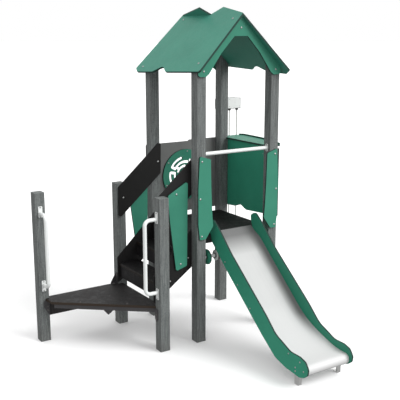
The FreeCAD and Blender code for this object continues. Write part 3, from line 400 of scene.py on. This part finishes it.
def kind_of(node):
    """The material that a CAD node shows."""
    if "post" in node:
        return "post"
    if node == "frame_bolts":
        return "bolt_dark"
    if node.endswith("bolts"):
        return "bolt"
    kinds = {
        "roof_panel_left": "roof_left", "roof_panel_right": "roof_right",
        "gable_boards": "green_y", "flank_panel_left": "green_y", "flank_panel_right": "green_y",
        "step_panel_left": "green_y", "step_panel_right": "green_y",
        "slide_side_left": "slide", "slide_side_right": "slide",
        "counter_panel": "green_x", "maze_disc": "green_y", "spinner_disc_green": "green_x",
        "handrail_panel_left": "black_y", "handrail_panel_right": "black_y",
        "stringer_left": "black_y", "stringer_right": "black_y",
        "game_panel": "grey_y", "counter_shelf": "green_z", "counter_lip": "green_z",
        "spinner_disc_grey": "disc_grey", "deck_board": "deck", "podium_board": "podium",
        "treads": "tread", "risers": "riser", "podium_rear_skirt": "skirt",
        "deck_frame": "steel_dark", "deck_clips": "steel_dark", "podium_front_beam": "bracket",
        "podium_side_beam": "bracket", "podium_brackets": "bracket",
        "counter_brackets": "steel_dark", "ridge_brackets": "steel_dark",
        "guard_bar": "white", "grab_handle_front": "white", "grab_handle_left": "white",
        "slide_feet": "stainless", "spinner_tube": "white", "spinner_collars": "ball",
        "hoist_spacers": "stainless", "hoist_axle": "stainless",
        "hoist_cheek_inner": "cheek", "hoist_cheek_outer": "cheek",
        "pulley_wheel": "wheel", "rope_guide": "ball", "hoist_rope": "rope",
        "rope_balls": "ball", "slide_bed": "bed",
    }
    return kinds[node]


def dress(materials):
    """Puts each CAD node's material on it."""
    for name, piece in NODES.items():
        for socket in piece.material_slots:
            socket.material = materials[kind_of(name)]


# ------------------------------------------------------------------ meshes

def mesh_piece(name, points, faces, material, smooth=True):
    """An object from its points and faces."""
    data = bpy.data.meshes.new(name)
    data.from_pydata(points, [], faces)
    data.validate()
    if smooth:
        data.polygons.foreach_set("use_smooth", [True] * len(data.polygons))
    data.materials.append(material)
    piece = bpy.data.objects.new(name, data)
    SCENE.collection.objects.link(piece)
    return piece


def spline_points(route, steps):
    """The hoist rope's line: a smooth curve with the route's points as its control points."""
    data = bpy.data.curves.new("rope_line", "CURVE")
    data.dimensions = "3D"
    data.resolution_u = steps
    line = data.splines.new("NURBS")
    line.points.add(len(route) - 1)
    for point, place_at in zip(line.points, route):
        point.co = (*place_at, 1)
    line.order_u = 3
    line.use_endpoint_u = True
    holder = bpy.data.objects.new("rope_line", data)
    SCENE.collection.objects.link(holder)
    bpy.context.view_layer.update()
    read = bpy.data.meshes.new_from_object(holder)
    points = [v.co.copy() for v in read.vertices]
    bpy.data.meshes.remove(read)
    bpy.data.objects.remove(holder)
    return points


def even(points, gap):
    """The same line with its points evenly spaced, close to this gap apart."""
    lengths = [0.0]
    for a, b in zip(points, points[1:]):
        lengths.append(lengths[-1] + (b - a).length)
    count = round(lengths[-1] / gap)
    out = []
    at = 0
    for step in range(count + 1):
        want = lengths[-1] * step / count
        while at < len(points) - 2 and lengths[at + 1] < want:
            at += 1
        share = (want - lengths[at]) / (lengths[at + 1] - lengths[at])
        out.append(points[at].lerp(points[at + 1], share))
    return out


# ------------------------------------------------------------------ hoist rope

ROPE_RADIUS = 0.0065
ROPE_LAY = 0.042                     # one full turn of a strand takes this much rope
ROPE_SIDES = 24
ROPE_GAP = 0.003                     # between the rings of points along the rope
STRAND = 0.535                       # radius of one strand, as a share of the rope's
ROPE_LEFT = 0.958
ROPE_RIGHT = 1.050
ROPE_Y = 0.885
ROPE_TOP = 2.131
ROPE_ROUTE = [
    (ROPE_LEFT, ROPE_Y, 0.640), (ROPE_LEFT, ROPE_Y, 2.007), (ROPE_LEFT, ROPE_Y, ROPE_TOP),
    (ROPE_RIGHT, ROPE_Y, ROPE_TOP), (ROPE_RIGHT, ROPE_Y, 2.007), (ROPE_RIGHT, ROPE_Y, 0.420),
]


def lobe(angle):
    """Outline of three strands laid together: radius at an angle, as a share of the rope's."""
    third = 2 * math.pi / 3
    offset = 1 - STRAND
    away = (angle + third / 2) % third - third / 2
    return offset * math.cos(away) + math.sqrt(STRAND ** 2 - (offset * math.sin(away)) ** 2)


def make_rope(materials):
    """One closed tube whose three lobes are laid round the rope's line."""
    line = even(spline_points(ROPE_ROUTE, 48), ROPE_GAP)
    across = Vector((0, 1, 0))
    points = []
    run = 0.0
    for i, middle in enumerate(line):
        ahead = (line[min(i + 1, len(line) - 1)] - line[max(i - 1, 0)]).normalized()
        if i:
            run += (middle - line[i - 1]).length
        side = ahead.cross(across)
        for k in range(ROPE_SIDES):
            angle = 2 * math.pi * k / ROPE_SIDES
            out = across * math.cos(angle) + side * math.sin(angle)
            points.append(middle + out * ROPE_RADIUS * lobe(angle - 2 * math.pi * run / ROPE_LAY))
    faces = []
    for i in range(len(line) - 1):
        for k in range(ROPE_SIDES):
            a = i * ROPE_SIDES + k
            b = i * ROPE_SIDES + (k + 1) % ROPE_SIDES
            faces.append((a, b, b + ROPE_SIDES, a + ROPE_SIDES))
    last = (len(line) - 1) * ROPE_SIDES
    faces.append(tuple(reversed(range(ROPE_SIDES))))
    faces.append(tuple(range(last, last + ROPE_SIDES)))
    rope = mesh_piece("laid_rope", points, faces, materials["rope"])
    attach(rope, "tower")
    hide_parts("hoist_rope")


# ------------------------------------------------------------------ slide bed

BED_SLOPE = math.radians(41)
BED_TOP = (0.0572, 1.000)            # where the flat head meets the slope: y, z
BED_EXIT = 0.190                     # height of the flat foot
BED_NOSE = (-1.258, 0.144, 0.046)    # middle of the rolled end: y, z; and its radius
BED_SIDES = (0.171, 0.635)           # x of the two side edges
BED_RETURN = 0.025                   # flat strip under the rolled end
BED_SHEET = 0.003
BED_BACK = 0.063                     # y of the edge that lies in the deck board's notch
BED_HEAD_BEND = 0.012                # radius of the bend at the head
BED_FOOT_BEND = 0.900                # radius of the bend at the foot
BED_COLUMNS = 40                     # strips of faces from one side to the other
CURL_WIDTH = 0.150
CURL_RISE = 0.028
CURL_POWER = 2.2                     # more than 1, so a cove starts softly
CURL_START = 0.04                    # distance from the back edge to where the coves begin
CURL_GROWS = 0.14                    # length over which they reach their full height
CURL_FADES = 0.35                    # length over which they run out above the nose


def bend(corner, before, after, radius, steps):
    """Points of a rounded corner between two directions."""
    half = before.angle(after) / 2
    cut = radius * math.tan(half)
    inward = (after - before).normalized()
    centre = corner + inward * (radius / math.cos(half))
    start = corner - before * cut - centre
    end = corner + after * cut - centre
    return [centre + start.slerp(end, i / steps).normalized() * radius for i in range(steps + 1)]


def bed_line():
    """The bed's middle line from the deck to under the rolled end, as (y, z)."""
    ahead = Vector((-1, 0))
    down = Vector((-math.cos(BED_SLOPE), -math.sin(BED_SLOPE)))
    top = Vector(BED_TOP)
    exit_at = Vector((BED_TOP[0] - (BED_TOP[1] - BED_EXIT) / math.tan(BED_SLOPE), BED_EXIT))
    line = [Vector((BED_BACK, BED_TOP[1]))]
    line += bend(top, ahead, down, BED_HEAD_BEND, 8)
    foot = bend(exit_at, down, ahead, BED_FOOT_BEND, 22)
    count = 26
    slope_start = line[-1].copy()
    line += [slope_start.lerp(foot[0], i / count) for i in range(1, count)]
    line += foot
    y, z, radius = BED_NOSE
    line += [Vector((y, z)) + Vector((-math.sin(a), math.cos(a))) * radius
             for a in (math.pi * i / 14 for i in range(15))]
    line.append(line[-1] + Vector((BED_RETURN, 0)))
    return line


def sheet_faces(rows, columns):
    """Faces of a closed sheet: its upper side, its lower side and the four strips between them."""
    stride = columns + 1
    size = rows * stride
    faces = []
    for i in range(rows - 1):
        for c in range(columns):
            a = i * stride + c
            faces.append((a, a + 1, a + 1 + stride, a + stride))
            faces.append((size + a, size + a + stride, size + a + 1 + stride, size + a + 1))
    for i in range(rows - 1):
        a = i * stride
        faces.append((a, a + stride, size + a + stride, size + a))
        b = a + columns
        faces.append((b, size + b, size + b + stride, b + stride))
    for c in range(columns):
        faces.append((c, size + c, size + c + 1, c + 1))
        a = (rows - 1) * stride + c
        faces.append((a, a + 1, size + a + 1, size + a))
    return faces


def held(value):
    """The value, kept between 0 and 1."""
    return min(max(value, 0), 1)


def make_bed(materials):
    """Pressed steel bed whose sides curl up into soft coves that fade out at both ends."""
    line = bed_line()
    runs = [0.0]
    for a, b in zip(line, line[1:]):
        runs.append(runs[-1] + (b - a).length)
    whole = runs[-1] - math.pi * BED_NOSE[2] - BED_RETURN
    width = BED_SIDES[1] - BED_SIDES[0]
    points = []
    for layer in (0.0, -BED_SHEET):
        for i, at in enumerate(line):
            ahead = (line[min(i + 1, len(line) - 1)] - line[max(i - 1, 0)]).normalized()
            up = Vector((ahead.y, -ahead.x))
            share = held((runs[i] - CURL_START) / CURL_GROWS) * held((whole - runs[i]) / CURL_FADES)
            share = share * share * (3 - 2 * share)
            for c in range(BED_COLUMNS + 1):
                across = -math.cos(math.pi * c / BED_COLUMNS) * 0.5 + 0.5
                edge = min(across, 1 - across) * width
                curl = max(0.0, 1 - edge / CURL_WIDTH)
                rise = CURL_RISE * curl ** CURL_POWER * share + layer
                points.append((BED_SIDES[0] + across * width, at.x + up.x * rise, at.y + up.y * rise))
    bed = mesh_piece("pressed_bed", points, sheet_faces(len(line), BED_COLUMNS), materials["bed"])
    made = bmesh.new()
    made.from_mesh(bed.data)
    bmesh.ops.recalc_face_normals(made, faces=made.faces)
    made.to_mesh(bed.data)
    made.free()
    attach(bed, "tower")
    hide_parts("slide_bed")


# ------------------------------------------------------------------ studio

def floor_material():
    """Pale ground with a faint glow that makes it nearly as bright as the sky."""
    made = blank("floor")
    tree = made.node_tree
    cloud = noise(tree, place(tree), 0.7, 2)
    speck = noise(tree, place(tree), 40.0, 2)
    colour = mix(tree, cloud, (0.86, 0.86, 0.86), (0.88, 0.88, 0.88))
    plain = new(tree, "NewGeometry").outputs["Normal"]
    rough = remap(tree, speck, 0.3, 0.7, 0.88, 0.94)
    glow = {"Emission Color": (1, 1, 1, 1), "Emission Strength": 0.09}
    surface(made, colour, rough, speck, 0.0002, plain, **glow)
    return made


def make_studio():
    """Ground, a white sky that dims below the horizon, and one soft lamp from the front right."""
    half = 900.0
    corners = [(-half, -half, 0), (half, -half, 0), (half, half, 0), (-half, half, 0)]
    floor = mesh_piece("floor", corners, [(0, 1, 2, 3)], floor_material(), False)
    floor.location.z = -0.0005
    floor.visible_diffuse = False
    floor.visible_glossy = False
    world = bpy.data.worlds.new("studio")
    world.use_nodes = True
    tree = world.node_tree
    height = new(tree, "SeparateXYZ", {"Vector": new(tree, "TexCoord").outputs["Generated"]}).outputs["Z"]
    sky = tree.nodes["Background"]
    tree.links.new(remap(tree, height, -0.30, -0.02, 0.40, 1.0), sky.inputs["Strength"])
    sky.inputs["Color"].default_value = (1.0, 1.0, 1.0, 1)
    SCENE.world = world
    lamp = bpy.data.lights.new("key", "SUN")
    lamp.energy = 2.6
    lamp.angle = math.radians(38)
    holder = bpy.data.objects.new("key", lamp)
    holder.rotation_euler = Vector((0.48, -0.62, 0.62)).to_track_quat("Z", "Y").to_euler()
    SCENE.collection.objects.link(holder)
    SCENE.view_settings.view_transform = "Standard"


make_camera()
MATERIALS = make_materials()
make_rope(MATERIALS)
dress(MATERIALS)
make_bed(MATERIALS)
make_studio()
